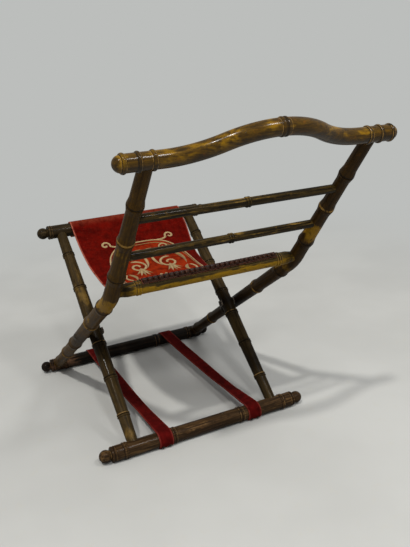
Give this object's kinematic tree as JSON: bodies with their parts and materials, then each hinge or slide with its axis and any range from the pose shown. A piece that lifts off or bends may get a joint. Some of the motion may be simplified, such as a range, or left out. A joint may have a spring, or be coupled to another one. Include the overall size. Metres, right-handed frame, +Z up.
{
  "type": "folding chair",
  "caption": "Folding chair of turned wood shaped like bamboo: bent posts under a serpentine top rail cross straight legs on pivots and carry a sagging velvet sling seat.",
  "frame": {"origin": "on the floor, in the middle of the chair's width and depth", "axes": "+Z up, the sitter faces -Y, and the sitter's left is +X"},
  "size_m": [0.58, 0.936, 0.7899],
  "materials": {
    "golden_wood": "polished, worn",
    "dark_wood": "polished, worn",
    "velvet": "piled, worn at the edges",
    "canvas": "plain weave",
    "braid": "woven",
    "nail_brass": "darkened",
    "pivot_iron": "dark, worn",
    "tack_iron": "dark"
  },
  "bodies": {
    "back_frame": {"left_post": "golden_wood", "right_post": "golden_wood", "top_rail": "golden_wood", "upper_slat": "golden_wood", "lower_slat": "golden_wood", "rear_seat_rail": "golden_wood", "front_foot_bar": "dark_wood", "left_pivot_bolt": "pivot_iron", "left_pivot_washer": "pivot_iron", "left_pivot_nut": "pivot_iron", "left_strap": "velvet", "right_pivot_bolt": "pivot_iron", "right_pivot_washer": "pivot_iron", "right_pivot_nut": "pivot_iron", "right_strap": "velvet", "seat_sling": "velvet", "seat_lining": "canvas", "seat_braid": "braid", "braid_nails": "nail_brass", "front_strap_tacks": "tack_iron"},
    "leg_frame": {"left_leg": "dark_wood", "right_leg": "dark_wood", "front_seat_bar": "dark_wood", "rear_foot_bar": "dark_wood", "sling_tacks": "tack_iron", "rear_strap_tacks": "tack_iron"}
  },
  "joints": [
    {"name": "fold", "type": "hinge", "parent": "back_frame", "child": "leg_frame", "pos_m": [0, -0.13204, 0.23136], "axis": [-1, 0, 0], "range_deg": [0, 96], "deforming": ["seat_sling", "seat_lining", "left_strap", "right_strap"]}
  ]
}
